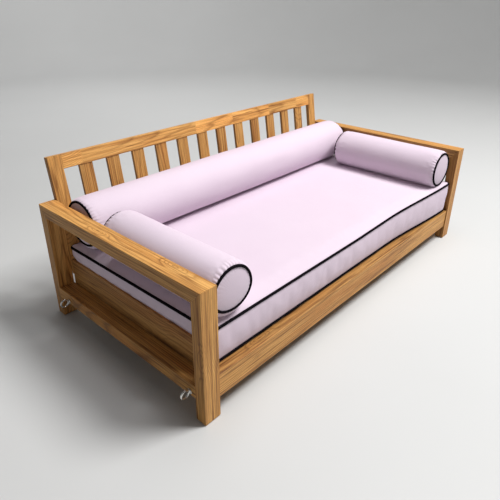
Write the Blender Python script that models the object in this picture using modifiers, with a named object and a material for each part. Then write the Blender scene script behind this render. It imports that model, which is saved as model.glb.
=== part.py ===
"""Hardwood daybed: two open arm frames, a slatted seat deck, a leaning slatted backrest,
a box mattress and three bolsters, pulled together with hand-turned ring bolts.

Units are metres. +X runs along the seat, -Y is the open front and +Z is up. The origin is
on the floor, in the middle of the whole object's plan.
"""
from math import cos, pi, radians, sin, sqrt, tan

import bmesh
import bpy
from mathutils import Matrix, Vector

# ---- driving dimensions -------------------------------------------------------------------
GAP = 0.0003                    # clearance kept between pieces that touch
ARRIS = 0.002                   # rounding along the edges of the timber

LENGTH = 2.100                  # over the two arm frames
ARM_DEPTH = 1.035               # front to back of an arm frame
ARM_HEIGHT = 0.565
MEMBER_WIDTH = 0.075            # width of every arm member, seen from above
POST_DEPTH = 0.050              # a post, from front to back
ARM_RAIL_HEIGHT = 0.055         # top and bottom rail of an arm
BOTTOM_RAIL_Z = 0.101           # underside of an arm's bottom rail
ARM_TENON = (0.020, 0.011)      # length, and how far it is inset from the rail's faces
FOOT_CHAMFER = 0.004

RAIL_SETBACK = 0.006            # front rail behind the face of the posts
RAIL_BOTTOM = 0.081
RAIL_TOP = 0.186
FRONT_RAIL_DEPTH = 0.045
BACK_RAIL_DEPTH = 0.0425
BACK_RAIL_FRONT = 0.930         # from the front of the arms
BEAM_DEPTH = 0.050              # beams under the slats
BEAM_BOTTOM = 0.098
SEAT_SLATS = 12
SEAT_SLAT_WIDTH = 0.080
SEAT_SLAT_THICKNESS = 0.018

END_BOARD_THICKNESS = 0.012
END_BOARD_TOP = 0.280
END_BOARD_CLEARANCE = 0.002     # to the backrest

BACKREST_TILT = radians(8.4)
BACKREST_HEIGHT = 0.555         # up the slope
BACKREST_THICKNESS = 0.024
BACKREST_FOOT = (0.9637, 0.205)         # lower front edge: from the front, above the floor
STILE_WIDTH = 0.067
BACKREST_RAIL_HEIGHT = 0.065
RAIL_TENON = (0.025, 0.006)
BACKREST_SLATS = 12
BACKREST_SLAT_WIDTH = 0.067
BACKREST_SLAT_THICKNESS = 0.016
SLAT_TENON = (0.012, 0.003)
BACKREST_BOLT_HEIGHTS = {"lower": 0.170, "upper": 0.320}    # up the slope

MATTRESS_LENGTH = 1.924
MATTRESS_FRONT = 0.052          # from the front of the arms
MATTRESS_TOP = 0.360
MATTRESS_ROUNDING = 0.018
MATTRESS_CLEARANCE = 0.002      # to the backrest

SIDE_BOLSTER_RADIUS = 0.108
SIDE_BOLSTER_LENGTH = 0.662     # between its end seams
SIDE_BOLSTER_X = 0.862
SIDE_BOLSTER_Y = 0.374          # middle of its length, from the front of the arms
BACK_BOLSTER_RADIUS = 0.120
BACK_BOLSTER_LENGTH = 1.900
BACK_BOLSTER_Y = 0.872
BOLSTER_SHOULDER = (0.012, 0.050)       # how the barrel draws in: inward, along
BOLSTER_DOME = 0.010            # how far an end panel stands out

RING_BOLT_Z = 0.120
RING_RADIUS = 0.018             # to the middle of the wire
RING_WIRE = 0.0035
RING_REACH = 0.0245             # middle of the ring, out from the timber
RING_TURN = {"left": radians(6), "right": radians(-8)}      # ring plane off the upright
COLLAR_RADIUS = 0.012
COLLAR_HEIGHT = 0.005
SHANK_RADIUS = 0.004
SHANK_LENGTH = 0.125
HOLE_CLEARANCE = 0.0005         # round a shank
HOLE_RELIEF = 0.002             # past a ring bolt's tip
INSERT_RADIUS = 0.0065
INSERT_LENGTH = 0.025
BOLT_HEAD = (0.008, 0.0045)     # radius, height
BOLT_GRIP = 0.035               # how far a backrest bolt reaches into its post
DRIVE_SOCKET = (0.003, 0.0025)  # radius of the hexagon, depth

METAL_STEPS = 24
BOLSTER_STEPS = 36

# ---- sizes that follow ----------------------------------------------------------------------
OVERALL_DEPTH = (BACKREST_FOOT[0] + BACKREST_HEIGHT * sin(BACKREST_TILT)
                 + BACKREST_THICKNESS * cos(BACKREST_TILT))
FRONT_Y = -OVERALL_DEPTH / 2            # the plane of the posts' front faces
ARM_INNER_X = LENGTH / 2 - MEMBER_WIDTH
FRONT_RAIL_BACK = RAIL_SETBACK + FRONT_RAIL_DEPTH
BACK_RAIL_BACK = BACK_RAIL_FRONT + BACK_RAIL_DEPTH
BACK_BEAM_FRONT = BACK_RAIL_FRONT - GAP - BEAM_DEPTH
BEAM_REACH = ARM_INNER_X - 2 * GAP - END_BOARD_THICKNESS    # half a beam's length
BEAM_TOP = RAIL_TOP - SEAT_SLAT_THICKNESS - GAP
MITRE_GAP = GAP * sqrt(1 + (ARM_RAIL_HEIGHT / POST_DEPTH) ** 2)     # measured upright
RING_BOLT_Y = {"front": FRONT_RAIL_BACK + GAP + BEAM_DEPTH / 2,
               "back": BACK_BEAM_FRONT + BEAM_DEPTH / 2}
SIDES = {"left": -1, "right": 1}

TEAK = (0.46, 0.24, 0.09)
LIGHT_TEAK = (0.52, 0.29, 0.12)
STEEL = (0.60, 0.60, 0.58)
LAVENDER = (0.74, 0.66, 0.77)


# ---- helpers --------------------------------------------------------------------------------
def clear_scene():
    for obj in list(bpy.data.objects):
        bpy.data.objects.remove(obj, do_unlink=True)


def new_collection(name):
    collection = bpy.data.collections.new(name)
    bpy.context.scene.collection.children.link(collection)
    return collection


def from_front(x, y, z):
    """A world point whose y is given from the front of the arms."""
    return Vector((x, y + FRONT_Y, z))


def paint(obj, colour, roughness, metallic=0.0):
    """Give the object a Principled material of its own."""
    material = bpy.data.materials.new(obj.name)
    material.use_nodes = True
    shader = material.node_tree.nodes["Principled BSDF"]
    shader.inputs["Base Color"].default_value = (*colour, 1.0)
    shader.inputs["Roughness"].default_value = roughness
    shader.inputs["Metallic"].default_value = metallic
    obj.data.materials.append(material)


def add_object(name, bm, collection, location, parent=None):
    """Turn a bmesh that is built round its own origin into a placed object."""
    bmesh.ops.recalc_face_normals(bm, faces=bm.faces)
    mesh = bpy.data.meshes.new(name)
    bm.to_mesh(mesh)
    bm.free()
    obj = bpy.data.objects.new(name, mesh)
    collection.objects.link(obj)
    obj.location = location
    obj.parent = parent
    return obj


def add_cutter(name, bm, location, parent=None):
    cutter = add_object(name, bm, cutters, location, parent)
    cutter.hide_render = True
    cutter.display_type = 'WIRE'
    return cutter


def combine(obj, other, operation='DIFFERENCE'):
    modifier = obj.modifiers.new(other.name, 'BOOLEAN')
    modifier.object = other
    modifier.operation = operation
    modifier.solver = 'EXACT'


def block(size):
    """A bmesh box of a given size, centred on its origin."""
    bm = bmesh.new()
    bmesh.ops.create_cube(bm, size=1.0, matrix=Matrix.Diagonal((*size, 1.0)))
    return bm


def cylinder(radius, start, end, steps=METAL_STEPS):
    """A bmesh rod along X from start to end."""
    bm = bmesh.new()
    matrix = Matrix.Translation(((start + end) / 2, 0, 0)) @ Matrix.Rotation(pi / 2, 4, 'Y')
    bmesh.ops.create_cone(bm, cap_ends=True, segments=steps, radius1=radius, radius2=radius,
                          depth=abs(end - start), matrix=matrix)
    return bm


def round_along(bm, axis, width=ARRIS):
    """Round the edges of a timber that run along one axis."""
    edges = []
    for edge in bm.edges:
        span = edge.verts[1].co - edge.verts[0].co
        if abs(span[axis]) > 0.98 * span.length:
            edges.append(edge)
    bmesh.ops.bevel(bm, geom=edges, offset=width, segments=2, profile=0.5, affect='EDGES')


def add_tenons(bm, axis, tenon):
    """Draw a stub tenon, as length and inset, out of both ends of a timber."""
    length, inset = tenon
    ends = [face for face in bm.faces if abs(face.normal[axis]) > 0.9]
    bmesh.ops.inset_individual(bm, faces=ends, thickness=inset, use_even_offset=True)
    tips = bmesh.ops.extrude_discrete_faces(bm, faces=ends)["faces"]
    for tip in tips:
        for vert in tip.verts:
            vert.co[axis] += length if vert.co[axis] > 0 else -length


def add_board(name, low, high, grain, colour=TEAK, tenon=None, parent=None):
    """A straight timber between two corners, with its grain along axis 0, 1 or 2."""
    low, high = Vector(low), Vector(high)
    bm = block(high - low)
    if tenon:
        add_tenons(bm, grain, tenon)
    round_along(bm, grain)
    obj = add_object(name, bm, daybed, (low + high) / 2, parent)
    paint(obj, colour, roughness=0.45)
    return obj


def cut_mortise(obj, low, high, parent=None):
    """Cut a box-shaped pocket between two corners, with the working clearance added."""
    low, high = Vector(low), Vector(high)
    clearance = Vector((2 * GAP, 2 * GAP, 2 * GAP))
    name = f"{obj.name}_mortise_{len(obj.modifiers) + 1}"
    combine(obj, add_cutter(name, block(high - low + clearance), (low + high) / 2, parent))


def bore(obj, radius, start, end, location, parent=None):
    """Drill along X, from start to end on either side of a location."""
    name = f"{obj.name}_bore_{len(obj.modifiers) + 1}"
    combine(obj, add_cutter(name, cylinder(radius, start, end), location, parent))


# ---- arm frames -----------------------------------------------------------------------------
def add_post(name, side, front):
    """A post whose top is mitred to the arm's top rail; its foot is chamfered."""
    inner, outer = side * ARM_INNER_X, side * LENGTH / 2
    height = ARM_HEIGHT - MITRE_GAP
    y = front + POST_DEPTH / 2
    bm = block((MEMBER_WIDTH, POST_DEPTH, height))
    inward = 1 if y < ARM_DEPTH / 2 else -1
    for vert in bm.verts:
        if vert.co.z > 0 and vert.co.y * inward > 0:
            vert.co.z -= ARM_RAIL_HEIGHT
    round_along(bm, 2)
    foot = [edge for edge in bm.edges if all(vert.co.z < -0.49 * height for vert in edge.verts)]
    bmesh.ops.bevel(bm, geom=foot, offset=FOOT_CHAMFER, segments=1, affect='EDGES')
    location = from_front((inner + outer) / 2, y, height / 2)
    post = add_object(name, bm, daybed, location)
    paint(post, TEAK, roughness=0.45)

    length, inset = ARM_TENON
    face = front + POST_DEPTH if inward > 0 else front
    near, far = sorted((face + inward * GAP, face - inward * (length - GAP)))
    cut_mortise(post,
                from_front(min(inner, outer) + inset, near, BOTTOM_RAIL_Z + inset),
                from_front(max(inner, outer) - inset, far,
                           BOTTOM_RAIL_Z + ARM_RAIL_HEIGHT - inset))
    return post


def add_top_rail(name, side):
    """An arm's top rail, mitred to the posts at both ends."""
    bm = block((MEMBER_WIDTH, ARM_DEPTH, ARM_RAIL_HEIGHT))
    for vert in bm.verts:
        if vert.co.z < 0:
            vert.co.y -= POST_DEPTH if vert.co.y > 0 else -POST_DEPTH
    round_along(bm, 1)
    x = side * (ARM_INNER_X + MEMBER_WIDTH / 2)
    rail = add_object(name, bm, daybed,
                      from_front(x, ARM_DEPTH / 2, ARM_HEIGHT - ARM_RAIL_HEIGHT / 2))
    paint(rail, LIGHT_TEAK, roughness=0.45)


def add_arm(label):
    side = SIDES[label]
    near, far = sorted((side * ARM_INNER_X, side * LENGTH / 2))
    add_post(f"{label}_arm_front_post", side, 0)
    back_post = add_post(f"{label}_arm_back_post", side, ARM_DEPTH - POST_DEPTH)
    add_top_rail(f"{label}_arm_top_rail", side)
    bottom_rail = add_board(
        f"{label}_arm_bottom_rail",
        from_front(near, POST_DEPTH + GAP, BOTTOM_RAIL_Z),
        from_front(far, ARM_DEPTH - POST_DEPTH - GAP, BOTTOM_RAIL_Z + ARM_RAIL_HEIGHT),
        grain=1, colour=LIGHT_TEAK, tenon=ARM_TENON)
    for y in RING_BOLT_Y.values():
        bore(bottom_rail, SHANK_RADIUS + HOLE_CLEARANCE, -MEMBER_WIDTH, MEMBER_WIDTH,
             from_front((near + far) / 2, y, RING_BOLT_Z))
    return back_post


# ---- seat deck ------------------------------------------------------------------------------
def add_seat_frame():
    reach = ARM_INNER_X - GAP
    add_board("front_rail", from_front(-reach, RAIL_SETBACK, RAIL_BOTTOM),
              from_front(reach, FRONT_RAIL_BACK, RAIL_TOP), grain=0)
    add_board("back_rail", from_front(-reach, BACK_RAIL_FRONT, RAIL_BOTTOM),
              from_front(reach, BACK_RAIL_BACK, RAIL_TOP), grain=0)
    fronts = {"front": FRONT_RAIL_BACK + GAP, "back": BACK_BEAM_FRONT}
    for place, front in fronts.items():
        beam = add_board(f"{place}_seat_beam", from_front(-BEAM_REACH, front, BEAM_BOTTOM),
                         from_front(BEAM_REACH, front + BEAM_DEPTH, BEAM_TOP), grain=0)
        for side in SIDES.values():
            end = from_front(side * BEAM_REACH, RING_BOLT_Y[place], RING_BOLT_Z)
            tip = LENGTH / 2 - SHANK_LENGTH - BEAM_REACH - HOLE_RELIEF
            bore(beam, INSERT_RADIUS + GAP, side * GAP, -side * (INSERT_LENGTH + 2 * GAP), end)
            bore(beam, SHANK_RADIUS + HOLE_CLEARANCE, side * 2 * GAP, side * tip, end)


def add_seat_slats():
    pitch = (2 * BEAM_REACH - SEAT_SLAT_WIDTH) / (SEAT_SLATS - 1)
    for i in range(SEAT_SLATS):
        left = -BEAM_REACH + i * pitch
        add_board(f"seat_slat_{i + 1:02d}", from_front(left, FRONT_RAIL_BACK + GAP, BEAM_TOP + GAP),
                  from_front(left + SEAT_SLAT_WIDTH, BACK_RAIL_FRONT - GAP, RAIL_TOP), grain=1)


def add_end_board(label, lean):
    """The end of the seat's box, beside the mattress; it is cut round the back rail and the
    leaning backrest, and the ring bolts pass through it into the beams."""
    side = SIDES[label]
    outer = side * (ARM_INNER_X - GAP)
    near, far = sorted((outer - side * END_BOARD_THICKNESS, outer))
    board = add_board(f"{label}_end_board", from_front(near, FRONT_RAIL_BACK + GAP, BEAM_BOTTOM),
                      from_front(far, BACK_RAIL_BACK, END_BOARD_TOP), grain=1)
    cut_mortise(board, from_front(near, BACK_RAIL_FRONT, RAIL_BOTTOM),
                from_front(far, BACK_RAIL_BACK, RAIL_TOP))
    cut_mortise(board, (near, -END_BOARD_CLEARANCE, -END_BOARD_CLEARANCE),
                (far, 2 * BACKREST_THICKNESS, BACKREST_HEIGHT / 2), lean)
    for y in RING_BOLT_Y.values():
        bore(board, SHANK_RADIUS + HOLE_CLEARANCE, -MEMBER_WIDTH, MEMBER_WIDTH,
             from_front((near + far) / 2, y, RING_BOLT_Z))


# ---- backrest -------------------------------------------------------------------------------
def add_backrest(back_posts):
    """A framed panel of upright slats, built upright and leant back as a whole."""
    lean = bpy.data.objects.new("backrest_lean", None)
    daybed.objects.link(lean)
    lean.location = from_front(0, *BACKREST_FOOT)
    lean.rotation_euler.x = -BACKREST_TILT

    reach = ARM_INNER_X - GAP
    middle = BACKREST_THICKNESS / 2
    rail_reach = reach - STILE_WIDTH - GAP
    rail_bottoms = {"bottom": 0, "top": BACKREST_HEIGHT - BACKREST_RAIL_HEIGHT}
    rails = {}
    for place, bottom in rail_bottoms.items():
        rails[place] = add_board(
            f"backrest_{place}_rail", (-rail_reach, 0, bottom),
            (rail_reach, BACKREST_THICKNESS, bottom + BACKREST_RAIL_HEIGHT),
            grain=0, colour=LIGHT_TEAK, tenon=RAIL_TENON, parent=lean)

    for label, side in SIDES.items():
        near, far = sorted((side * reach, side * (reach - STILE_WIDTH)))
        stile = add_board(f"backrest_{label}_stile", (near, 0, 0),
                          (far, BACKREST_THICKNESS, BACKREST_HEIGHT), grain=2, parent=lean)
        length, inset = RAIL_TENON
        for bottom in rail_bottoms.values():
            shoulder, tip = side * rail_reach, side * (rail_reach + length)
            cut_mortise(stile, (min(shoulder, tip), inset, bottom + inset),
                        (max(shoulder, tip), BACKREST_THICKNESS - inset,
                         bottom + BACKREST_RAIL_HEIGHT - inset), parent=lean)
        for place, height in BACKREST_BOLT_HEIGHTS.items():
            add_backrest_bolt(f"{label}_backrest_{place}_bolt", side, stile, back_posts[label],
                              Vector((side * (reach - STILE_WIDTH), middle, height)), lean)

    add_backrest_slats(rails, rail_reach, lean)
    return lean


def add_backrest_slats(rails, rail_reach, lean):
    """Upright slats with even gaps, tenoned into the top and the bottom rail."""
    opening = 2 * (rail_reach + GAP)
    space = (opening - BACKREST_SLATS * BACKREST_SLAT_WIDTH) / (BACKREST_SLATS + 1)
    front = (BACKREST_THICKNESS - BACKREST_SLAT_THICKNESS) / 2
    back = front + BACKREST_SLAT_THICKNESS
    low = BACKREST_RAIL_HEIGHT + GAP
    high = BACKREST_HEIGHT - BACKREST_RAIL_HEIGHT - GAP
    length, inset = SLAT_TENON
    for i in range(BACKREST_SLATS):
        left = -opening / 2 + space + i * (BACKREST_SLAT_WIDTH + space)
        right = left + BACKREST_SLAT_WIDTH
        add_board(f"backrest_slat_{i + 1:02d}", (left, front, low), (right, back, high),
                  grain=2, tenon=SLAT_TENON, parent=lean)
        sides = (left + inset, front + inset), (right - inset, back - inset)
        cut_mortise(rails["bottom"], (*sides[0], low - length), (*sides[1], low), lean)
        cut_mortise(rails["top"], (*sides[0], high), (*sides[1], high + length), lean)


def add_backrest_bolt(name, side, stile, post, seat, lean):
    """A socket-headed bolt through a stile's width into the back post of the arm."""
    head_radius, head_height = BOLT_HEAD
    tip = STILE_WIDTH + BOLT_GRIP
    hole = SHANK_RADIUS + HOLE_CLEARANCE
    bore(stile, hole, -side * GAP, side * (STILE_WIDTH + GAP), seat, lean)
    bore(post, hole, side * (STILE_WIDTH - GAP), side * (tip + 2 * GAP), seat, lean)

    shank = cylinder(SHANK_RADIUS, -side * 3 * GAP, side * tip)
    bolt = add_object(name, shank, daybed, seat, lean)
    head_end = -side * (GAP + head_height)
    head = cylinder(head_radius, -side * GAP, head_end)
    combine(bolt, add_cutter(f"{name}_head", head, seat, lean), 'UNION')
    socket_radius, socket_depth = DRIVE_SOCKET
    socket = cylinder(socket_radius, head_end + side * socket_depth, head_end - side * GAP, steps=6)
    combine(bolt, add_cutter(f"{name}_socket", socket, seat, lean))
    paint(bolt, STEEL, roughness=0.35, metallic=1.0)


# ---- ring bolts -----------------------------------------------------------------------------
def add_ring(name, centre, turn):
    """The ring of a ring bolt, upright and across the arm, then turned about X."""
    bpy.ops.mesh.primitive_torus_add(
        major_radius=RING_RADIUS, minor_radius=RING_WIRE, major_segments=METAL_STEPS,
        minor_segments=METAL_STEPS // 2, location=centre, rotation=(pi / 2 + turn, 0, 0))
    torus = bpy.context.object
    torus.name = name
    for collection in list(torus.users_collection):
        collection.objects.unlink(torus)
    cutters.objects.link(torus)
    torus.hide_render = True
    torus.display_type = 'WIRE'
    return torus


def add_ring_bolt(label, place):
    """A bolt turned by hand on its ring; its origin is on the arm's face, on the turning axis."""
    side = SIDES[label]
    name = f"{label}_{place}_ring_bolt"
    face = from_front(side * LENGTH / 2, RING_BOLT_Y[place], RING_BOLT_Z)
    shank = cylinder(SHANK_RADIUS, -side * SHANK_LENGTH, side * 3 * GAP)
    bolt = add_object(name, shank, daybed, face)
    collar = cylinder(COLLAR_RADIUS, side * GAP, side * (GAP + COLLAR_HEIGHT))
    combine(bolt, add_cutter(f"{name}_collar", collar, face), 'UNION')
    centre = face + Vector((side * RING_REACH, 0, 0))
    combine(bolt, add_ring(f"{name}_ring", centre, RING_TURN[label]), 'UNION')
    paint(bolt, STEEL, roughness=0.35, metallic=1.0)


def add_insert(label, place):
    """A threaded sleeve let into the end of a seat beam, where its ring bolt grips."""
    side = SIDES[label]
    name = f"{label}_{place}_insert"
    end = from_front(side * BEAM_REACH, RING_BOLT_Y[place], RING_BOLT_Z)
    sleeve = add_object(name, cylinder(INSERT_RADIUS, 0, -side * INSERT_LENGTH), daybed, end)
    bore(sleeve, SHANK_RADIUS + GAP, side * GAP, -side * (INSERT_LENGTH + GAP), end)
    paint(sleeve, STEEL, roughness=0.4, metallic=1.0)


# ---- cushions -------------------------------------------------------------------------------
def add_mattress():
    """A box mattress whose back leans with the backrest."""
    low_z = RAIL_TOP + GAP
    size = Vector((MATTRESS_LENGTH, 1.0, MATTRESS_TOP - low_z))
    middle_z = (low_z + MATTRESS_TOP) / 2
    bm = block(size)
    for vert in bm.verts:
        z = middle_z + vert.co.z
        back = BACKREST_FOOT[0] + (z - BACKREST_FOOT[1]) * tan(BACKREST_TILT)
        vert.co.y = MATTRESS_FRONT if vert.co.y < 0 else back - MATTRESS_CLEARANCE
    bmesh.ops.bevel(bm, geom=bm.edges[:], offset=MATTRESS_ROUNDING, segments=3, profile=0.5,
                    affect='EDGES')
    mattress = add_object("mattress", bm, daybed, from_front(0, 0, middle_z))
    paint(mattress, LAVENDER, roughness=0.9)


def bolster_profile(radius, length):
    """Half the outline of a bolster with domed ends, top to bottom, as (radius, height)."""
    draw, reach = BOLSTER_SHOULDER
    seam = radius - draw
    half = length / 2
    steps = 4
    quarter = [i / steps * pi / 2 for i in range(steps + 1)]
    dome = [(seam * sin(a), half + BOLSTER_DOME * cos(a)) for a in quarter]
    shoulder = [(seam + draw * sin(a), half - reach * (1 - cos(a))) for a in quarter[1:]]
    top = dome + shoulder
    return top + [(r, -z) for r, z in reversed(top)]


def add_bolster(name, radius, length, location, rotation):
    mesh = bpy.data.meshes.new(name)
    outline = bolster_profile(radius, length)
    outline_edges = [(i, i + 1) for i in range(len(outline) - 1)]
    mesh.from_pydata([(r, 0, z) for r, z in outline], outline_edges, [])
    bolster = bpy.data.objects.new(name, mesh)
    daybed.objects.link(bolster)
    bolster.location = location
    bolster.rotation_euler = rotation
    screw = bolster.modifiers.new("turn", 'SCREW')
    screw.steps = BOLSTER_STEPS
    screw.render_steps = BOLSTER_STEPS
    screw.use_merge_vertices = True
    screw.merge_threshold = 0.0001
    paint(bolster, LAVENDER, roughness=0.9)


def add_bolsters():
    rest = MATTRESS_TOP + GAP
    for label, side in SIDES.items():
        add_bolster(f"{label}_bolster", SIDE_BOLSTER_RADIUS, SIDE_BOLSTER_LENGTH,
                    from_front(side * SIDE_BOLSTER_X, SIDE_BOLSTER_Y, rest + SIDE_BOLSTER_RADIUS),
                    (pi / 2, 0, 0))
    add_bolster("back_bolster", BACK_BOLSTER_RADIUS, BACK_BOLSTER_LENGTH,
                from_front(0, BACK_BOLSTER_Y, rest + BACK_BOLSTER_RADIUS), (0, pi / 2, 0))


# ---- build ----------------------------------------------------------------------------------
clear_scene()
daybed = new_collection("daybed")
cutters = new_collection("cutters")

backrest_lean = add_backrest({label: add_arm(label) for label in SIDES})
add_seat_frame()
add_seat_slats()
for arm in SIDES:
    add_end_board(arm, backrest_lean)
    for bolt_place in RING_BOLT_Y:
        add_ring_bolt(arm, bolt_place)
        add_insert(arm, bolt_place)
add_mattress()
add_bolsters()
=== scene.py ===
from math import cos, exp, hypot, pi, radians, sin, sqrt

import bmesh
import bpy
from mathutils import Euler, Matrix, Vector, noise


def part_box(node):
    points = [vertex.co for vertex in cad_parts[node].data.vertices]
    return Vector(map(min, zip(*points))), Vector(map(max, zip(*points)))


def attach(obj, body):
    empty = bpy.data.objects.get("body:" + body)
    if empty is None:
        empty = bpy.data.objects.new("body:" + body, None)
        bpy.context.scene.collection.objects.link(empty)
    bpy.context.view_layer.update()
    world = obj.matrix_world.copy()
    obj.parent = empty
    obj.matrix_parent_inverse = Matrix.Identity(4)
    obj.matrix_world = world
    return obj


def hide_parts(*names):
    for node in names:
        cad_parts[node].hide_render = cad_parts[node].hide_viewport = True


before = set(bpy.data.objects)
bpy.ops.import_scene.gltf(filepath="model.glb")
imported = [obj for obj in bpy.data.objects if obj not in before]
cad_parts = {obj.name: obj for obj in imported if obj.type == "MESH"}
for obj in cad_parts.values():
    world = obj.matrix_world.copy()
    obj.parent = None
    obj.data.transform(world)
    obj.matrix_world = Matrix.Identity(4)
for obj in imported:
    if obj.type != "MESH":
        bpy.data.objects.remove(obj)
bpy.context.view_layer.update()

# Looks of the daybed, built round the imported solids. Metres; +X along the seat, -Y the open
# front, +Z up. Every place is worked out from the frame's boxes.

scene = bpy.context.scene
scene.view_settings.view_transform = 'Standard'

CAMERA_PLACE = (-1.9024, -1.5152, 1.4246)
CAMERA_TURN = (1.11398, -0.00347, -0.82819)
CAMERA_LENS = 35.847
CAMERA_SHIFT = (0.0037, -0.0414)
FLOOR_RADIUS = 7.0              # flat part of the studio floor
COVE_RADIUS = 3.0               # where the floor turns up into the wall
COVE_STEPS = 12
WALL_HEIGHT = 6.0
STUDIO_SIDES = 96
STUDIO_DROP = 0.0005            # keeps the floor clear of the feet
WORLD_COLOUR = (0.97, 0.98, 1.0, 1)
WORLD_STRENGTH = 0.06
BED_MIDDLE = (0, 0, 0.3)
WHITE = (1, 1, 1)
# Name, place, target, size, power and colour
LIGHTS = (("key", (2.3, -2.8, 6.5), BED_MIDDLE, 2.7, 610, (1.0, 0.995, 0.985)),
          ("top", (0.4, -0.2, 5.8), BED_MIDDLE, 3.6, 105, WHITE),
          ("backdrop", (1.5, 4.2, 4.6), (3.9, 8.2, 1.4), 2.8, 115, WHITE))


# ---- camera, stage and lights ------------------------------------------------------------------
def add_camera():
    """The eye stands off the near front corner, a little over head height."""
    data = bpy.data.cameras.new("camera")
    camera = bpy.data.objects.new("camera", data)
    scene.collection.objects.link(camera)
    camera.location = CAMERA_PLACE
    camera.rotation_euler = CAMERA_TURN
    data.sensor_width = 36.0
    data.lens = CAMERA_LENS
    data.shift_x, data.shift_y = CAMERA_SHIFT
    data.clip_end = 200
    scene.camera = camera


def add_area_light(name, position, target, size, power, colour):
    data = bpy.data.lights.new(name, 'AREA')
    data.shape = 'DISK'
    data.size = size
    data.energy = power
    data.color = colour
    light = bpy.data.objects.new(name, data)
    scene.collection.objects.link(light)
    light.location = position
    aim = Vector(target) - Vector(position)
    light.rotation_euler = aim.to_track_quat('-Z', 'Y').to_euler()


def add_stage():
    """A pale studio bowl: a soft key from the right front, an overhead fill, a lit backdrop."""
    profile = [(0.001, 0.0), (FLOOR_RADIUS, 0.0)]
    for step in range(1, COVE_STEPS + 1):
        angle = pi / 2 * step / COVE_STEPS
        profile.append((FLOOR_RADIUS + COVE_RADIUS * sin(angle), COVE_RADIUS * (1 - cos(angle))))
    profile.append((FLOOR_RADIUS + COVE_RADIUS, WALL_HEIGHT))
    mesh = bpy.data.meshes.new("studio")
    mesh.from_pydata([(r, 0, z) for r, z in reversed(profile)],
                     [(n, n + 1) for n in range(len(profile) - 1)], [])
    studio = bpy.data.objects.new("studio", mesh)
    scene.collection.objects.link(studio)
    studio.location.z = -STUDIO_DROP
    screw = studio.modifiers.new("turn", 'SCREW')
    screw.steps = screw.render_steps = STUDIO_SIDES
    screw.use_smooth_shade = True
    mesh.materials.append(floor_material())

    world = bpy.data.worlds.new("studio")
    scene.world = world
    world.use_nodes = True
    background = world.node_tree.nodes["Background"]
    background.inputs["Color"].default_value = WORLD_COLOUR
    background.inputs["Strength"].default_value = WORLD_STRENGTH
    for light in LIGHTS:
        add_area_light(*light)


# ---- node helpers ------------------------------------------------------------------------------
def add_node(tree, kind, inputs=None, **settings):
    """A shader node with its settings; an input is a value, or another node's output."""
    made = tree.nodes.new(kind)
    for key, value in settings.items():
        setattr(made, key, value)
    for key, value in (inputs or {}).items():
        if isinstance(value, bpy.types.NodeSocket):
            tree.links.new(value, made.inputs[key])
        else:
            made.inputs[key].default_value = value
    return made


def calc(tree, operation, first, second=0.0, third=0.0):
    inputs = {0: first, 1: second}
    if operation == 'MULTIPLY_ADD':
        inputs[2] = third
    return add_node(tree, 'ShaderNodeMath', inputs, operation=operation).outputs[0]


def remap(tree, value, low, high, to_low, to_high, smooth=False):
    kind = 'SMOOTHSTEP' if smooth else 'LINEAR'
    return add_node(tree, 'ShaderNodeMapRange',
                    {"Value": value, "From Min": low, "From Max": high,
                     "To Min": to_low, "To Max": to_high}, interpolation_type=kind).outputs[0]


def mix_colour(tree, factor, first, second):
    made = add_node(tree, 'ShaderNodeMix', data_type='RGBA', blend_type='MIX')
    for socket, value in (("Factor_Float", factor), ("A_Color", first), ("B_Color", second)):
        target = next(s for s in made.inputs if s.identifier == socket)
        if isinstance(value, bpy.types.NodeSocket):
            tree.links.new(value, target)
        else:
            target.default_value = value
    return next(s for s in made.outputs if s.identifier == "Result_Color")


def ramp(tree, value, stops):
    """A colour ramp; stops are (place, colour)."""
    made = add_node(tree, 'ShaderNodeValToRGB', {"Fac": value})
    elements = made.color_ramp.elements
    while len(elements) < len(stops):
        elements.new(0.5)
    for element, (place, colour) in zip(elements, stops):
        element.position = place
        element.color = colour
    return made.outputs["Color"]


def stretched_noise(tree, vector, scale, detail=2.0, roughness=0.5, seed=0.0):
    """Noise read through a scale of its own along each axis; 0 to 1."""
    placed = add_node(tree, 'ShaderNodeMapping',
                      {"Vector": vector, "Location": (seed, seed * 1.7, seed * 2.3),
                       "Scale": scale}).outputs[0]
    return add_node(tree, 'ShaderNodeTexNoise',
                    {"Vector": placed, "Scale": 1.0, "Detail": detail,
                     "Roughness": roughness}).outputs["Fac"]


def new_material(name):
    material = bpy.data.materials.new(name)
    material.use_nodes = True
    tree = material.node_tree
    return material, tree, tree.nodes["Principled BSDF"]


def object_place(tree):
    return add_node(tree, 'ShaderNodeTexCoord').outputs["Object"]


# ---- materials ---------------------------------------------------------------------------------
def floor_material():
    material, tree, shader = new_material("floor")
    place = object_place(tree)
    cloud = stretched_noise(tree, place, (0.7, 0.7, 0.7), 3)
    pale = ramp(tree, cloud, [(0.3, (0.585, 0.588, 0.585, 1)), (0.7, (0.605, 0.608, 0.605, 1))])
    tree.links.new(pale, shader.inputs["Base Color"])
    shader.inputs["Roughness"].default_value = 0.6
    return material


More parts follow.
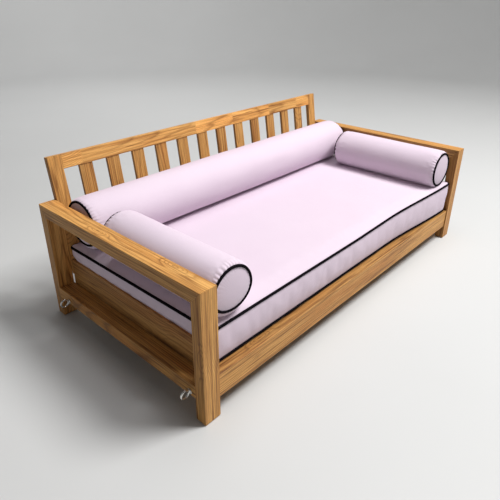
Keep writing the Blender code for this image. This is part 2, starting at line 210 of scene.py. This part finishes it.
# Board colours: pale early wood, middle, dark lines, and the red cast of a patch
GOLDEN = ((0.800, 0.434, 0.133), (0.640, 0.314, 0.086), (0.195, 0.072, 0.016),
          (0.660, 0.283, 0.069))
BROWN = ((0.720, 0.380, 0.122), (0.560, 0.268, 0.076), (0.165, 0.060, 0.014),
         (0.580, 0.249, 0.063))
PALE = ((0.700, 0.480, 0.250), (0.600, 0.380, 0.170), (0.380, 0.210, 0.080),
        (0.640, 0.400, 0.190))
PAINTED_SIDE_SHADE = 0.76                # painted shade: faces towards the bed's ends are darkened
RING_GAP = 0.0085               # between growth rings
KNOT_LENGTH, KNOT_WIDTH = 0.060, 0.016
KNOT_SWELL = 0.030              # how far a knot pushes the rings out
TOOTH, TOOTH_SLOPE = 0.0035, 3.0            # of a finger joint
STAVE_STEP_ALONG, STAVE_STEP_ACROSS = 1.31, 0.037       # grain's jump from stave to stave


def knot_swell(tree, along, across, knot):
    """How far the rings bend out round a knot at a place on the board."""
    near = calc(tree, 'MULTIPLY', calc(tree, 'SUBTRACT', along, knot[0]), 1 / KNOT_LENGTH)
    over = calc(tree, 'MULTIPLY', calc(tree, 'SUBTRACT', across, knot[1]), 1 / KNOT_WIDTH)
    square = calc(tree, 'ADD', calc(tree, 'MULTIPLY', near, near),
                  calc(tree, 'MULTIPLY', over, over))
    return calc(tree, 'EXPONENT', calc(tree, 'MULTIPLY', square, -1.0))


def timber(name, centre, turn, pith, tones, seed, joints, knots, top_shade, side_shade):
    """Oiled hardwood sawn from a log: growth rings round a pith that runs along the board.

    centre is the board's middle, turn carries its grain to local X, and pith is where the
    log's middle lies across the board. joints are finger joints along the grain, each with
    a new stave beyond it, and knots are places along and across the board. The last two
    arguments are painted shade: they darken the upper face and the faces towards the bed's
    ends, standing in for the shade that falls there.
    """
    material, tree, shader = new_material(name)
    place = object_place(tree)
    matrix = turn.to_matrix()
    local = add_node(tree, 'ShaderNodeMapping',
                     {"Vector": place, "Location": -(matrix @ Vector(centre)),
                      "Rotation": turn}).outputs[0]
    parts = add_node(tree, 'ShaderNodeSeparateXYZ', {"Vector": local})
    along, across, through = (parts.outputs[i] for i in range(3))

    stave = 0.0
    if joints:
        teeth = calc(tree, 'PINGPONG', through, TOOTH)
        zigzag = calc(tree, 'MULTIPLY_ADD', teeth, TOOTH_SLOPE, along)
        for joint in joints:
            stave = calc(tree, 'ADD', stave, calc(tree, 'GREATER_THAN', zigzag, joint))
        across = calc(tree, 'MULTIPLY_ADD', stave, STAVE_STEP_ACROSS, across)
        along = calc(tree, 'MULTIPLY_ADD', stave, STAVE_STEP_ALONG, along)
        local = add_node(tree, 'ShaderNodeCombineXYZ',
                         {"X": along, "Y": across, "Z": through}).outputs[0]

    sway = stretched_noise(tree, local, (1.3, 6.0, 6.0), 3, 0.5, seed)
    shake = stretched_noise(tree, local, (7.0, 60.0, 60.0), 2, 0.5, seed + 3)
    tilt = calc(tree, 'MULTIPLY', along, 0.03)
    side = calc(tree, 'ADD', calc(tree, 'ADD', across, tilt), pith[0])
    depth = calc(tree, 'ADD', through, pith[1])
    radius = calc(tree, 'SQRT', calc(tree, 'ADD', calc(tree, 'MULTIPLY', side, side),
                                     calc(tree, 'MULTIPLY', depth, depth)))
    radius = calc(tree, 'MULTIPLY_ADD', sway, 0.045, radius)
    radius = calc(tree, 'MULTIPLY_ADD', shake, 0.0045, radius)
    for knot in knots:
        swell = knot_swell(tree, along, across, knot)
        radius = calc(tree, 'MULTIPLY_ADD', swell, KNOT_SWELL, radius)
    ring = calc(tree, 'FRACT', calc(tree, 'DIVIDE', radius, RING_GAP))
    late = ramp(tree, ring, [(0.0, (0.25,) * 3 + (1,)), (0.25, (0.0, 0.0, 0.0, 1)),
                             (0.62, (0.12,) * 3 + (1,)), (0.88, (1, 1, 1, 1)),
                             (1.0, (0.25,) * 3 + (1,))])

    fibre = stretched_noise(tree, local, (6.0, 400.0, 400.0), 3, 0.6, seed + 7)
    pores = stretched_noise(tree, local, (22.0, 1400.0, 1400.0), 2, 0.6, seed + 11)
    streak = stretched_noise(tree, local, (1.7, 105.0, 105.0), 3, 0.62, seed + 13)
    patch = stretched_noise(tree, local, (1.8, 16.0, 16.0), 2, 0.5, seed + 17)
    vein = stretched_noise(tree, local, (1.1, 46.0, 46.0), 2, 0.5, seed + 19)
    vein = calc(tree, 'ABSOLUTE', calc(tree, 'SUBTRACT', vein, 0.5))
    vein = remap(tree, vein, 0.004, 0.030, 1.0, 0.0, smooth=True)

    pale, middle, dark, red = ((*tone, 1) for tone in tones)
    base = mix_colour(tree, remap(tree, streak, 0.38, 0.58, 0, 1, smooth=True), pale, middle)
    base = mix_colour(tree, remap(tree, patch, 0.48, 0.68, 0, 0.75, smooth=True), base, red)
    lines = calc(tree, 'MULTIPLY', late, remap(tree, patch, 0.35, 0.62, 0.30, 0.78))
    base = mix_colour(tree, lines, base, dark)
    base = mix_colour(tree, remap(tree, streak, 0.57, 0.74, 0.0, 0.85, smooth=True), base, dark)
    veins = calc(tree, 'MULTIPLY', vein, remap(tree, streak, 0.40, 0.60, 0.15, 0.85))
    base = mix_colour(tree, veins, base, dark)
    base = mix_colour(tree, remap(tree, fibre, 0.46, 0.70, 0.0, 0.60), base, dark)
    ink = tuple(0.4 * c for c in dark[:3])
    base = mix_colour(tree, remap(tree, pores, 0.56, 0.75, 0.0, 0.55), base, (*ink, 1))

    # Painted shade: upper faces and faces towards the bed's ends are darkened by the way they
    # face
    normal = add_node(tree, 'ShaderNodeTexCoord').outputs["Normal"]
    facing = add_node(tree, 'ShaderNodeSeparateXYZ', {"Vector": normal})
    darker = remap(tree, calc(tree, 'ABSOLUTE', facing.outputs[0]), 0.5, 1.0, 1.0, side_shade)
    upper = remap(tree, facing.outputs[2], 0.5, 1.0, 1.0, top_shade)
    darker = calc(tree, 'MULTIPLY', darker, upper)
    base = add_node(tree, 'ShaderNodeHueSaturation', {"Color": base, "Value": darker}
                    ).outputs["Color"]
    if joints:
        shift = add_node(tree, 'ShaderNodeTexWhiteNoise', {"W": stave},
                         noise_dimensions='1D').outputs["Value"]
        base = add_node(tree, 'ShaderNodeHueSaturation',
                        {"Color": base, "Value": remap(tree, shift, 0, 1, 0.84, 1.16)}
                        ).outputs["Color"]
    tree.links.new(base, shader.inputs["Base Color"])

    rough = calc(tree, 'MULTIPLY_ADD', fibre, 0.22, remap(tree, late, 0, 1, 0.44, 0.36))
    tree.links.new(rough, shader.inputs["Roughness"])
    shader.inputs["Specular IOR Level"].default_value = 0.30
    relief = calc(tree, 'MULTIPLY_ADD', late, 0.35, calc(tree, 'MULTIPLY', fibre, -1.0))
    bump = add_node(tree, 'ShaderNodeBump', {"Height": relief, "Strength": 0.35,
                                             "Distance": 0.0006})
    tree.links.new(bump.outputs["Normal"], shader.inputs["Normal"])
    return material


def woven(name, light, shade, thread=0.0011, sheen=0.12, gloss=0.25):
    """Plain-weave upholstery cloth; its threads follow whichever faces they lie on."""
    material, tree, shader = new_material(name)
    coordinates = add_node(tree, 'ShaderNodeTexCoord')
    place = add_node(tree, 'ShaderNodeSeparateXYZ', {"Vector": coordinates.outputs["Object"]})
    facing = add_node(tree, 'ShaderNodeSeparateXYZ', {"Vector": coordinates.outputs["Normal"]})
    wobble = stretched_noise(tree, coordinates.outputs["Object"], (35, 35, 35), 2)
    drift = calc(tree, 'MULTIPLY', wobble, 1.6)
    waves = []
    for axis in range(3):
        phase = calc(tree, 'MULTIPLY_ADD', place.outputs[axis], pi / thread, drift)
        waves.append(calc(tree, 'SINE', phase))
    height = 0.0
    for axis in range(3):
        weight = calc(tree, 'POWER', calc(tree, 'ABSOLUTE', facing.outputs[axis]), 4.0)
        cross = calc(tree, 'MULTIPLY', waves[axis - 1], waves[axis - 2])
        height = calc(tree, 'MULTIPLY_ADD', cross, weight, height)
    slub = stretched_noise(tree, coordinates.outputs["Object"], (900, 900, 900), 2, 0.6)
    cloud = stretched_noise(tree, coordinates.outputs["Object"], (5, 5, 5), 3, 0.55)
    tone = calc(tree, 'MULTIPLY_ADD', height, 0.16, remap(tree, cloud, 0.3, 0.7, 0.45, 0.60))
    tone = calc(tree, 'MULTIPLY_ADD', slub, 0.3, calc(tree, 'ADD', tone, -0.15))
    tree.links.new(mix_colour(tree, tone, (*shade, 1), (*light, 1)), shader.inputs["Base Color"])
    shader.inputs["Roughness"].default_value = 0.88
    shader.inputs["Sheen Weight"].default_value = sheen
    shader.inputs["Sheen Roughness"].default_value = 0.45
    shader.inputs["Sheen Tint"].default_value = (0.95, 0.88, 1.0, 1)
    shader.inputs["Specular IOR Level"].default_value = gloss
    relief = calc(tree, 'MULTIPLY_ADD', slub, 0.5, height)
    bump = add_node(tree, 'ShaderNodeBump', {"Height": relief, "Strength": 0.3,
                                             "Distance": 0.0004})
    tree.links.new(bump.outputs["Normal"], shader.inputs["Normal"])
    return material


def metal(name, colour, roughness):
    material, tree, shader = new_material(name)
    place = object_place(tree)
    grime = stretched_noise(tree, place, (160, 160, 160), 3, 0.6)
    scratches = stretched_noise(tree, place, (60, 1400, 1400), 2)
    dull = tuple(0.45 * c for c in colour)
    tree.links.new(mix_colour(tree, remap(tree, grime, 0.45, 0.75, 0, 0.4), (*colour, 1),
                              (*dull, 1)), shader.inputs["Base Color"])
    tree.links.new(calc(tree, 'MULTIPLY_ADD', grime, 0.3, roughness), shader.inputs["Roughness"])
    shader.inputs["Metallic"].default_value = 1.0
    bump = add_node(tree, 'ShaderNodeBump', {"Height": scratches, "Strength": 0.15,
                                             "Distance": 0.0003})
    tree.links.new(bump.outputs["Normal"], shader.inputs["Normal"])
    return material


# ---- timber on the CAD boards ------------------------------------------------------------------
ALONG_X = Euler((0, 0, 0))
ALONG_Y = Euler((0, 0, -pi / 2))
ALONG_Z = Euler((0, pi / 2, 0))
STILE_THICKNESS = 0.024
QUARTER_SAWN = (0.30, 0.01)     # pith far to one side, for straight lines on the wide face
FINGER_JOINTS = (-0.805, -0.113, 0.175, 0.500, 0.777)
# Painted shade on the right arm's faces towards the bed's ends, deeper than on other boards
RIGHT_ARM_PAINTED_SIDE_SHADE = 0.60
GOLDEN_ANGLE = 2.39996          # between the piths of one board and the next
PITH_NEAR, PITH_SPREAD = 0.055, 0.05
# Painted shade: these top faces are darkened to stand in for the shade that falls on them
PAINTED_TOP_SHADES = {"front_rail": 0.66, "left_arm_bottom_rail": 0.85, "right_arm_bottom_rail": 0.85}
# Boards lighter or darker than the rest
BOARD_TONES = {"backrest_top_rail": 1.16, "backrest_slat": 0.84}
# Knots that stand out, along and across their boards
KNOTS = {"left_arm_top_rail": ((0.10, 0.005), (-0.33, -0.02)), "front_rail": ((-0.72, 0.01),)}


def set_material(node, material):
    for material_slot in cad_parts[node].material_slots:
        material_slot.material = material


def lean_of_backrest():
    """The backrest's tilt, from how far a stile leans over its height."""
    low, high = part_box("backrest_left_stile")
    return (high.y - low.y - STILE_THICKNESS) / (high.z - low.z)


def clad_boards():
    """Give every timber its own cut from the log, with the grain along its length."""
    lean = Euler((lean_of_backrest(), 0, 0))
    leaning_up = (ALONG_Z.to_matrix() @ lean.to_matrix()).to_euler()
    for index, node in enumerate(sorted(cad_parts)):
        if "bolt" in node or "insert" in node or "bolster" in node or node == "mattress":
            continue
        low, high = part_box(node)
        size = high - low
        turn = ALONG_X
        if size.y > max(size.x, size.z):
            turn = ALONG_Y
        elif size.z > max(size.x, size.y):
            turn = leaning_up if node.startswith("backrest") else ALONG_Z
        tones = GOLDEN
        if "end_board" in node:
            tones = BROWN
        elif "seat_slat" in node or "beam" in node:
            tones = PALE
        for kind, factor in BOARD_TONES.items():
            if node.startswith(kind):
                tones = tuple(tuple(factor * part for part in tone) for tone in tones)
        angle = index * GOLDEN_ANGLE
        distance = PITH_NEAR + PITH_SPREAD * ((index * 7) % 5) / 4
        pith = (distance * cos(angle), distance * sin(angle))
        if "bottom_rail" in node:
            pith = QUARTER_SAWN
        joints = FINGER_JOINTS if node == "backrest_top_rail" else ()
        length = max(size)
        knots = KNOTS.get(node, ((0.42 * length * sin(index * 4.1), 0.02 * cos(index * 2.3)),))
        # painted shade on the upper face and on the faces towards the bed's ends
        top_shade = PAINTED_TOP_SHADES.get(node, 1.0)
        side_shade = RIGHT_ARM_PAINTED_SIDE_SHADE if "right_arm" in node else PAINTED_SIDE_SHADE
        set_material(node, timber(node, (low + high) / 2, turn, pith, tones, index * 5.13,
                                  joints, knots, top_shade, side_shade))


# ---- mesh helpers ------------------------------------------------------------------------------
CORD_SIDES = 10
SETTLE_FRAMES = 20


def mesh_object(name, points, faces, material, body):
    """A smooth visible piece that moves with a body."""
    mesh = bpy.data.meshes.new(name)
    mesh.from_pydata([tuple(p) for p in points], [], faces)
    mesh.validate()
    bm = bmesh.new()
    bm.from_mesh(mesh)
    bmesh.ops.recalc_face_normals(bm, faces=bm.faces)
    bm.to_mesh(mesh)
    bm.free()
    mesh.shade_smooth()
    piece = bpy.data.objects.new(name, mesh)
    scene.collection.objects.link(piece)
    mesh.materials.append(material)
    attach(piece, body)
    return piece


def piping(name, loop, radius, material, body, sides=CORD_SIDES):
    """A round cord or wire closed on itself; loop is its centre line."""
    count = len(loop)
    points, faces = [], []
    centre = sum(loop, Vector()) / count
    for i, here in enumerate(loop):
        ahead = (loop[(i + 1) % count] - loop[i - 1]).normalized()
        out = here - centre
        out = (out - ahead * out.dot(ahead)).normalized()
        up = ahead.cross(out)
        for j in range(sides):
            angle = 2 * pi * j / sides
            points.append(here + radius * (cos(angle) * out + sin(angle) * up))
    for i in range(count):
        for j in range(sides):
            k = (j + 1) % sides
            n = (i + 1) % count
            faces.append((i * sides + j, i * sides + k, n * sides + k, n * sides + j))
    return mesh_object(name, points, faces, material, body)


def settle(piece, pinned, pressure, growth, cap):
    """Blow the cover out against its filling: seams stay put and no point moves past the cap."""
    mesh = piece.data
    before = [v.co.copy() for v in mesh.vertices]
    group = piece.vertex_groups.new(name="seams")
    group.add(pinned, 1.0, 'REPLACE')
    cloth = piece.modifiers.new("cloth", 'CLOTH')
    settings = cloth.settings
    settings.quality = 5
    settings.mass = 0.3
    settings.tension_stiffness = 18
    settings.compression_stiffness = 18
    settings.shear_stiffness = 8
    settings.bending_stiffness = 0.6
    settings.use_pressure = True
    settings.uniform_pressure_force = pressure
    settings.vertex_group_mass = group.name
    settings.shrink_min = -growth
    settings.effector_weights.gravity = 0
    cloth.collision_settings.use_self_collision = False
    for number in range(1, SETTLE_FRAMES + 1):
        scene.frame_set(number)
    settled = piece.evaluated_get(bpy.context.evaluated_depsgraph_get())
    after = [v.co.copy() for v in settled.data.vertices]
    piece.modifiers.remove(cloth)
    piece.vertex_groups.remove(group)
    scene.frame_set(1)
    for vert, old, new in zip(mesh.vertices, before, after):
        move = new - old
        if move.length > cap:
            move *= cap / move.length
        vert.co = old + move


def subdivide_once(piece):
    modifier = piece.modifiers.new("smooth", 'SUBSURF')
    modifier.levels = 1
    modifier.render_levels = 1


# ---- ring bolts --------------------------------------------------------------------------------
ARM_FACE = 1.050                # outer face of an arm, from the middle of the bed
RING_RADIUS = 0.018
RING_WIRE = 0.0041              # radius of the wire
RING_REACH = 0.0245             # from the arm's face to the ring's middle
RING_TURN = {"left": radians(6), "right": radians(-8)}
RING_STEPS = 64
WIRE_SIDES = 20
BOLT_SIDES = 36
SHARP_EDGE = radians(38)
THREAD_START, THREAD_END = -0.1235, -0.0860     # outward from the arm's face
THREAD_PITCH = 0.00125
THREAD_CREST, THREAD_ROOT = 0.0039, 0.0032
TIP_BEVEL = (0.0012, 0.0004)    # along the shank, and off its radius
# Outward from the arm's face, and radius: shank, collar with eased edges, neck into the ring
COLLAR_PROFILE = ((0.0001, THREAD_CREST), (0.0003, 0.0108), (0.0009, 0.0118), (0.0043, 0.0118),
                  (0.0050, 0.0111), (0.0053, 0.0085), (0.0058, 0.0060), (0.0070, 0.0046),
                  (0.0085, 0.0030))


def turned(name, profile, origin, side, material, body):
    """A solid turned about X: profile runs outward from origin, as distance and radius."""
    sides = BOLT_SIDES
    points = [origin + Vector((side * out, radius * cos(2 * pi * j / sides),
                               radius * sin(2 * pi * j / sides)))
              for out, radius in profile for j in range(sides)]
    faces = [tuple(range(sides)), tuple(range(len(points) - sides, len(points)))]
    for i in range(len(profile) - 1):
        for j in range(sides):
            k = (j + 1) % sides
            faces.append((i * sides + j, i * sides + k, (i + 1) * sides + k, (i + 1) * sides + j))
    piece = mesh_object(name, points, faces, material, body)
    piece.data.set_sharp_from_angle(angle=SHARP_EDGE)
    return piece


def build_ring_bolt(node, steel):
    """Threaded shank with a turned collar, and a ring of round wire welded to it."""
    low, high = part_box(node)
    label = node.split("_")[0]
    side = -1 if label == "left" else 1
    middle = (low + high) / 2
    origin = Vector((side * ARM_FACE, middle.y, middle.z))
    crests = round((THREAD_END - THREAD_START) / THREAD_PITCH)
    profile = [(THREAD_START - TIP_BEVEL[0], THREAD_ROOT - TIP_BEVEL[1])]
    for n in range(crests):
        profile.append((THREAD_START + n * THREAD_PITCH, THREAD_ROOT))
        profile.append((THREAD_START + (n + 0.5) * THREAD_PITCH, THREAD_CREST))
    profile.append((THREAD_END, THREAD_CREST))
    piece = turned(f"{node}_shank", profile + list(COLLAR_PROFILE), origin, side, steel, node)
    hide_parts(node)
    turn = Euler((RING_TURN[label], 0, 0)).to_matrix()
    centre = origin + Vector((side * RING_REACH, 0, 0))
    loop = []
    for n in range(RING_STEPS):
        angle = 2 * pi * n / RING_STEPS
        loop.append(centre + turn @ Vector((RING_RADIUS * cos(angle), 0,
                                            RING_RADIUS * sin(angle))))
    piping(f"{node}_ring", loop, RING_WIRE, steel, node, WIRE_SIDES)


# ---- mattress and piping -----------------------------------------------------------------------
PIPING_RADIUS = 0.0058
BOARD_TOP = 0.280               # the mattress fits inside the end boards below this
INSIDE_BOARDS = 0.0055          # and is this much narrower there, on each side
OVER_BOARDS = 0.0055            # above them it swells out by this much
CORNER_RISE = 0.021             # how far the top piping rises towards its right front corner
CORNER_FLATTEN = 0.009          # how much less the crown inside it rises
BOW = 0.034                     # how far the front edge comes forward at its right end
BOW_START = 0.30
CROWN = 0.020                   # how far the mattress rises above its top piping
CROWN_RUN = 0.055               # how far in from the edge it takes to get there
MATTRESS_CORNER = 0.016         # rounding of the mattress in plan
CORNER_STEPS = 4
GRID_PITCH = 0.018
BAND_STEPS = 12
BAND_BULGE = 0.004
END_CLEARANCE = 0.001           # to the solid's two ends
LOWER_PIPING = 1.9              # height of the lower piping's middle, in piping radii
UNDERSIDE = 0.0006              # the bottom cloth's height over the solid's
BOARD_BLEND = 0.02              # height over which the cover swells out above the boards
BROAD_FOLD, FINE_FOLD = 0.0030, 0.0014
UNEVEN = 0.0012                 # how far stuffed cloth strays from its true shape


def graded(half, corner, corner_steps, pitch):
    """Places from -half to half, close together near both ends."""
    ends = [half - corner * i / corner_steps for i in range(corner_steps)]
    inside = half - corner
    count = max(2, round(2 * inside / pitch))
    middle = [inside - 2 * inside * i / count for i in range(count + 1)]
    return sorted(ends + middle + [-e for e in ends])


def rounded(x, y, half_x, half_y, corner):
    """Move a point of a rectangle into the same rectangle with round corners."""
    over_x, over_y = abs(x) - (half_x - corner), abs(y) - (half_y - corner)
    if over_x > 0 and over_y > 0:
        shrink = max(over_x, over_y) / hypot(over_x, over_y)
        x += (shrink - 1) * over_x * (1 if x > 0 else -1)
        y += (shrink - 1) * over_y * (1 if y > 0 else -1)
    return x, y


def box_shell(xs, ys, zs):
    """Grid points (i, j, k) on the six sides of a box, and the quads between them."""
    nx, ny, nz = len(xs) - 1, len(ys) - 1, len(zs) - 1
    index, cells, faces = {}, [], []

    def at(i, j, k):
        if (i, j, k) not in index:
            index[(i, j, k)] = len(cells)
            cells.append((i, j, k))
        return index[(i, j, k)]

    for i in range(nx):
        for j in range(ny):
            faces.append((at(i, j, nz), at(i + 1, j, nz), at(i + 1, j + 1, nz), at(i, j + 1, nz)))
            faces.append((at(i, j + 1, 0), at(i + 1, j + 1, 0), at(i + 1, j, 0), at(i, j, 0)))
    for k in range(nz):
        for i in range(nx):
            faces.append((at(i, 0, k), at(i + 1, 0, k), at(i + 1, 0, k + 1), at(i, 0, k + 1)))
            faces.append((at(i, ny, k + 1), at(i + 1, ny, k + 1), at(i + 1, ny, k), at(i, ny, k)))
        for j in range(ny):
            faces.append((at(0, j, k + 1), at(0, j + 1, k + 1), at(0, j + 1, k), at(0, j, k)))
            faces.append((at(nx, j, k), at(nx, j + 1, k), at(nx, j + 1, k + 1), at(nx, j, k + 1)))
    return index, cells, faces


def ring_of(index, nx, ny, k):
    """Point numbers once round the edge of a box shell at level k."""
    cells = [(i, 0, k) for i in range(nx)] + [(nx, j, k) for j in range(ny)]
    cells += [(i, ny, k) for i in range(nx, 0, -1)] + [(0, j, k) for j in range(ny, 0, -1)]
    return [index[cell] for cell in cells]


def build_mattress(cloth, cord):
    """Box mattress: crowned top between piped edges, a soft band, and a back that leans."""
    low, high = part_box("mattress")
    half_x = (high.x - low.x) / 2 - END_CLEARANCE
    lean = lean_of_backrest()
    height = high.z - low.z
    front = low.y
    depth = high.y - low.y - height * lean
    half_y = depth / 2
    top_seam = high.z - CROWN
    bottom_seam = low.z + LOWER_PIPING * PIPING_RADIUS
    xs = graded(half_x, MATTRESS_CORNER, CORNER_STEPS, GRID_PITCH)
    ys = graded(half_y, MATTRESS_CORNER, CORNER_STEPS, GRID_PITCH)
    zs = [i / BAND_STEPS for i in range(BAND_STEPS + 1)]
    index, cells, faces = box_shell(xs, ys, zs)
    points = []
    for i, j, k in cells:
        x, y = rounded(xs[i], ys[j], half_x, half_y, MATTRESS_CORNER)
        z = bottom_seam + (top_seam - bottom_seam) * zs[k]
        run = 0.0
        on_edge = i in (0, len(xs) - 1) or j in (0, len(ys) - 1)
        if on_edge:
            bulge = BAND_BULGE * sin(pi * zs[k]) ** 0.7 if 0 < k < BAND_STEPS else 0.0
            fold = noise.noise(Vector((x * 22, y * 22, 3.1 + z * 2))) * BROAD_FOLD
            fold += noise.noise(Vector((x * 60, y * 60, 9.7 + z * 4))) * FINE_FOLD
            outward = Vector((x * half_y / half_x, y, 0)).normalized()
            if abs(x) < half_x - MATTRESS_CORNER:
                outward = Vector((0, 1 if y > 0 else -1, 0))
            elif abs(y) < half_y - MATTRESS_CORNER:
                outward = Vector((1 if x > 0 else -1, 0, 0))
            push = bulge + fold * sin(pi * zs[k])
            x += outward.x * push
            y += outward.y * push
        elif k == BAND_STEPS:
            edge = min(half_x - abs(x), half_y - abs(y))
            run = min(edge / CROWN_RUN, 1.0)
            z += CROWN * sqrt(1 - (1 - run) ** 2)
            z += noise.noise(Vector((x * 3.1, y * 3.1, 1.0))) * UNEVEN
        elif k == 0:
            z = low.z + UNDERSIDE
        toward_front = (1 - ys[j] / half_y) / 2
        rise = (CORNER_RISE - CORNER_FLATTEN * run) * (0.5 + 0.5 * toward_front)
        z += rise * max(x / half_x, 0.0) * zs[k]
        over = min(max((z - BOARD_TOP) / BOARD_BLEND, 0.0), 1.0)
        swell = OVER_BOARDS * (1 if x > 0 else ys[j] / half_y)
        x *= 1 + (over * (swell + INSIDE_BOARDS) - INSIDE_BOARDS) / half_x
        swing = min(max((x - BOW_START) / (half_x - BOW_START), 0.0), 1.0)
        swing *= swing * (3 - 2 * swing)
        y -= BOW * swing * toward_front
        y += front + half_y
        y += (z - low.z) * lean * (ys[j] + half_y) / depth
        points.append(Vector((x, y, z)))
    piece = mesh_object("mattress_cover", points, faces, cloth, "mattress")
    loops = {}
    for place, k in (("top", BAND_STEPS), ("bottom", 0)):
        loops[place] = ring_of(index, len(xs) - 1, len(ys) - 1, k)
    underside = [n for n, cell in enumerate(cells) if cell[2] == 0]
    settle(piece, loops["top"] + loops["bottom"] + underside, pressure=2.0, growth=0.004,
           cap=0.004)
    for place, loop in loops.items():
        centre_line = [piece.data.vertices[n].co.copy() for n in loop]
        piping(f"mattress_{place}_piping", centre_line, PIPING_RADIUS, cord, "mattress")
    subdivide_once(piece)
    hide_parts("mattress")


# ---- bolsters ----------------------------------------------------------------------------------
BOLSTER_DOME = 0.010            # how far an end disc stands out
SHOULDER = 0.014                # how far the barrel draws in at an end seam
SHOULDER_RUN = 0.050
FLAT = 0.0015                   # softness of the flat where the bolster lies
# How far the seam of a front or left end is pushed up where the bolster lies, and of a far end
SAG = {"left_bolster": 0.020, "right_bolster": 0.004, "back_bolster": 0.013}
FAR_SAG = 0.0043
# How far a bolster is moved to the right, and added to at each end
SHIFT = {"back_bolster": 0.006}
STRETCH = {"back_bolster": 0.004}
AROUND = 192
END_PLACES = (0.0, 0.003, 0.006, 0.010, 0.014, 0.019, 0.025, 0.032, 0.041, 0.052)
END_ZONE = 0.065                # the evenly spaced stations start beyond this
STATION_PITCH = 0.022
DISC_SHARES = (0.12, 0.30, 0.48, 0.64, 0.78, 0.88, 0.95, 0.985)
GATHER_PITCH = 0.0155
GATHER_DEPTH = 0.0085
DISC_WRINKLE = 0.0016


def pucker(angle, distance, seed, gathers):
    """Gathers beside a seam: 0 to 1, deep at the seam and gone a few centimetres in."""
    wander = 1.6 * noise.noise(Vector((cos(angle) * 2, sin(angle) * 2, seed)))
    wave = (0.5 - 0.5 * sin(gathers * angle + wander * 3 + seed)) ** 1.6
    strength = 0.75 + 1.3 * noise.noise(Vector((cos(angle) * 3, sin(angle) * 3, seed + 5)))
    reach = 0.016 + 0.018 * abs(noise.noise(Vector((cos(angle) * 6, sin(angle) * 6, seed + 9))))
    return min(max(0.0, strength), 1.3) * wave * exp(-distance / reach)


def build_bolster(node, axis, seed, cloth, cord):
    """A stuffed tube with piped ends: gathered at the seams, flattened where it lies."""
    low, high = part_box(node)
    centre = (low + high) / 2
    centre.x += SHIFT.get(node, 0.0)
    radius = (high.z - low.z) / 2
    half = (high - low)[axis] / 2 - BOLSTER_DOME + STRETCH.get(node, 0.0)
    seam = radius - SHOULDER
    gathers = round(2 * pi * seam / GATHER_PITCH)
    around = AROUND
    inside = half - END_ZONE
    count = round(2 * inside / STATION_PITCH)
    stations = [half - d for d in END_PLACES]
    stations += [inside - 2 * inside * i / count for i in range(count + 1)]
    stations += [-(half - d) for d in reversed(END_PLACES)]

    def seam_radius(angle, side):
        sag = SAG[node] if side < 0 else FAR_SAG
        return seam - sag * max(0.0, -sin(angle)) ** 1.5

    def end_disc(side):
        shape = []
        for share in DISC_SHARES:
            place = side * (half + BOLSTER_DOME * (1 - share ** 2.4))
            shape.append([(share * seam_radius(2 * pi * n / around, side), place, share)
                          for n in range(around)])
        return shape

    def tube():
        shape = []
        for place in stations:
            distance = half - abs(place)
            fill = min(distance / SHOULDER_RUN, 1.0)
            ring = []
            for n in range(around):
                angle = 2 * pi * n / around
                side_seed = seed + (3 if place > 0 else 0)
                seam_here = seam_radius(angle, place)
                girth = seam_here + (radius - seam_here) * sqrt(1 - (1 - fill) ** 2)
                if distance > 0:
                    girth -= GATHER_DEPTH * pucker(angle, distance, side_seed, gathers)
                girth += UNEVEN * noise.noise(Vector((place * 7, cos(angle) * 1.5,
                                                      sin(angle) * 1.5 + seed)))
                ring.append((girth, place, None))
            shape.append(ring)
        return shape

    rings = end_disc(1) + tube() + list(reversed(end_disc(-1)))
    points = []
    for ring in rings:
        for n, (girth, place, share) in enumerate(ring):
            angle = 2 * pi * n / around
            if share:
                side = 1 if place > 0 else -1
                wrinkle = pucker(angle, (1 - share) * seam, seed + 20 + side, gathers)
                place -= side * DISC_WRINKLE * wrinkle
            points.append([girth * cos(angle), place, girth * sin(angle)])
    points += [[0, half + BOLSTER_DOME, 0], [0, -half - BOLSTER_DOME, 0]]
    faces = []
    for number in range(len(rings) - 1):
        for n in range(around):
            following = (n + 1) % around
            here = number * around
            faces.append((here + n, here + around + n, here + around + following,
                          here + following))
    first, last = len(points) - 2, len(points) - 1
    base = (len(rings) - 1) * around
    for n in range(around):
        following = (n + 1) % around
        faces.append((first, n, following))
        faces.append((last, base + following, base + n))

    rest = -radius
    placed = []
    for across, along, up in points:
        if up < rest + FLAT:
            up = rest + FLAT * exp((up - rest) / FLAT - 1)
        if axis == 0:
            placed.append(centre + Vector((along, -across, up)))
        else:
            placed.append(centre + Vector((across, along, up)))
    piece = mesh_object(f"{node}_cover", placed, faces, cloth, node)
    seam_rings = {"first": len(DISC_SHARES), "second": len(rings) - len(DISC_SHARES) - 1}
    loops = {place: [number * around + n for n in range(around)]
             for place, number in seam_rings.items()}
    held = list(range((seam_rings["first"] + 1) * around))
    held += range(seam_rings["second"] * around, len(points))
    settle(piece, held, pressure=2.0, growth=0.01, cap=0.004)
    for place, loop in loops.items():
        centre_line = [piece.data.vertices[n].co.copy() for n in loop]
        piping(f"{node}_{place}_piping", centre_line, PIPING_RADIUS, cord, node)
    subdivide_once(piece)
    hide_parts(node)


# ---- build -------------------------------------------------------------------------------------
add_camera()
add_stage()
clad_boards()

lavender = woven("lavender_cloth", (0.730, 0.626, 0.710), (0.625, 0.508, 0.606))
black_cord = woven("black_cord", (0.007, 0.005, 0.008), (0.002, 0.0015, 0.003), thread=0.0009,
                   sheen=0.0, gloss=0.06)
zinc = metal("zinc", (0.76, 0.75, 0.72), 0.10)
for node_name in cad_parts:
    if node_name.endswith("ring_bolt"):
        build_ring_bolt(node_name, zinc)
    elif "_bolt" in node_name or "insert" in node_name:
        set_material(node_name, zinc)

build_mattress(lavender, black_cord)
build_bolster("left_bolster", 1, 11.0, lavender, black_cord)
build_bolster("right_bolster", 1, 23.0, lavender, black_cord)
build_bolster("back_bolster", 0, 37.0, lavender, black_cord)
